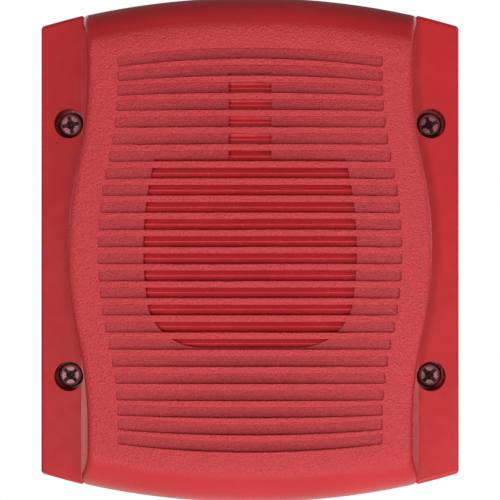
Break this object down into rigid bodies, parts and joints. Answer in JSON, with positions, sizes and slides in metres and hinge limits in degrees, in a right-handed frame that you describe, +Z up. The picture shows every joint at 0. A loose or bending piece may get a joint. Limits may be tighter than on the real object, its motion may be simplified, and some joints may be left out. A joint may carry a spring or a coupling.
{
  "type": "fire alarm horn",
  "caption": "Weatherproof wall-mounted fire alarm horn: red cover with a raised, arched, grooved face and louvred sound window, held by recessed corner screws on a surface back box.",
  "frame": {"origin": "middle of the back box's rear face, on the wall plane", "axes": "+Z up the wall, -Y out of the wall towards the room, +X to the right seen from the front"},
  "size_m": [0.127, 0.075, 0.1524],
  "materials": {
    "cover_red": "fine spark-eroded texture on the face, satin elsewhere",
    "louvre_red": "smooth gloss moulding",
    "box_red": "satin moulded",
    "screw_dark": "dark red coated steel",
    "seal_black": "moulded rubber",
    "gasket_foam": "closed-cell foam",
    "brass": "turned",
    "plug_grey": "moulded",
    "ground_green": "green dyed",
    "steel_zinc": "zinc plated",
    "basket_steel": "black painted pressing",
    "ferrite": "sintered",
    "cone_film": "formed film",
    "surround_rubber": "soft",
    "spider_cloth": "resin-treated weave",
    "former_foil": "foil",
    "copper_wire": "enamelled copper",
    "strip_fibre": "fibre board",
    "lead_red": "wire insulation",
    "chassis_black": "moulded",
    "board_green": "solder mask",
    "terminal_grey": "moulded",
    "can_black": "sleeved can",
    "chip_black": "moulded package",
    "selector_grey": "moulded",
    "selector_white": "moulded"
  },
  "bodies": {
    "root": {"back_box": "box_red", "threaded_inserts": "brass", "cover_gasket": "seal_black", "conduit_plug": "plug_grey", "conduit_plug_seal": "seal_black", "ground_screw": "ground_green"},
    "front_unit": {"front_cover": "cover_red", "louvre_insert": "louvre_red", "sealing_washers": "seal_black", "driver_gasket": "gasket_foam", "driver_basket": "basket_steel", "driver_screws": "steel_zinc", "clamp_washers": "steel_zinc", "top_plate": "steel_zinc", "magnet": "ferrite", "pole_yoke": "steel_zinc", "surround": "surround_rubber", "spider": "spider_cloth", "driver_terminal_strip": "strip_fibre", "driver_leads": "lead_red", "rear_chassis": "chassis_black", "chassis_screws": "steel_zinc", "circuit_board": "board_green", "board_screws": "steel_zinc", "terminal_block": "terminal_grey", "terminal_screws": "steel_zinc", "capacitors": "can_black", "inductor_core": "ferrite", "inductor_winding": "copper_wire", "control_chips": "chip_black", "tone_selector_housing": "selector_grey", "volume_selector_housing": "selector_grey"},
    "diaphragm": {"cone": "cone_film", "dust_cap": "cone_film", "voice_coil_former": "former_foil", "voice_coil": "copper_wire"},
    "tone_selector": {"tone_selector_rotor": "selector_white"},
    "volume_selector": {"volume_selector_rotor": "selector_white"},
    "cover_screw_tl": {"cover_screw_tl": "screw_dark"},
    "cover_screw_tr": {"cover_screw_tr": "screw_dark"},
    "cover_screw_bl": {"cover_screw_bl": "screw_dark"},
    "cover_screw_br": {"cover_screw_br": "screw_dark"}
  },
  "joints": [
    {"name": "front_lift_off", "type": "slide", "parent": "root", "child": "front_unit", "axis": [0, -1, 0], "range_m": [0, 0.08]},
    {"name": "diaphragm_travel", "type": "slide", "parent": "front_unit", "child": "diaphragm", "axis": [0, -1, 0], "range_m": [-0.0008, 0.0008], "stiffness_N_per_m": 1500, "deforming": ["surround", "spider"]},
    {"name": "tone_selector_turn", "type": "hinge", "parent": "front_unit", "child": "tone_selector", "pos_m": [0.02, -0.0274, -0.008], "axis": [0, 1, 0], "range_deg": [0, 210]},
    {"name": "volume_selector_turn", "type": "hinge", "parent": "front_unit", "child": "volume_selector", "pos_m": [-0.02, -0.0274, -0.008], "axis": [0, 1, 0], "range_deg": [0, 90]},
    {"name": "cover_screw_tl_turn", "type": "hinge", "parent": "front_unit", "child": "cover_screw_tl", "pos_m": [-0.0549, -0.0518, 0.0383], "axis": [0, 1, 0], "continuous": true},
    {"name": "cover_screw_tr_turn", "type": "hinge", "parent": "front_unit", "child": "cover_screw_tr", "pos_m": [0.0549, -0.0518, 0.0383], "axis": [0, 1, 0], "continuous": true},
    {"name": "cover_screw_bl_turn", "type": "hinge", "parent": "front_unit", "child": "cover_screw_bl", "pos_m": [-0.0549, -0.0518, -0.0383], "axis": [0, 1, 0], "continuous": true},
    {"name": "cover_screw_br_turn", "type": "hinge", "parent": "front_unit", "child": "cover_screw_br", "pos_m": [0.0549, -0.0518, -0.0383], "axis": [0, 1, 0], "continuous": true}
  ]
}
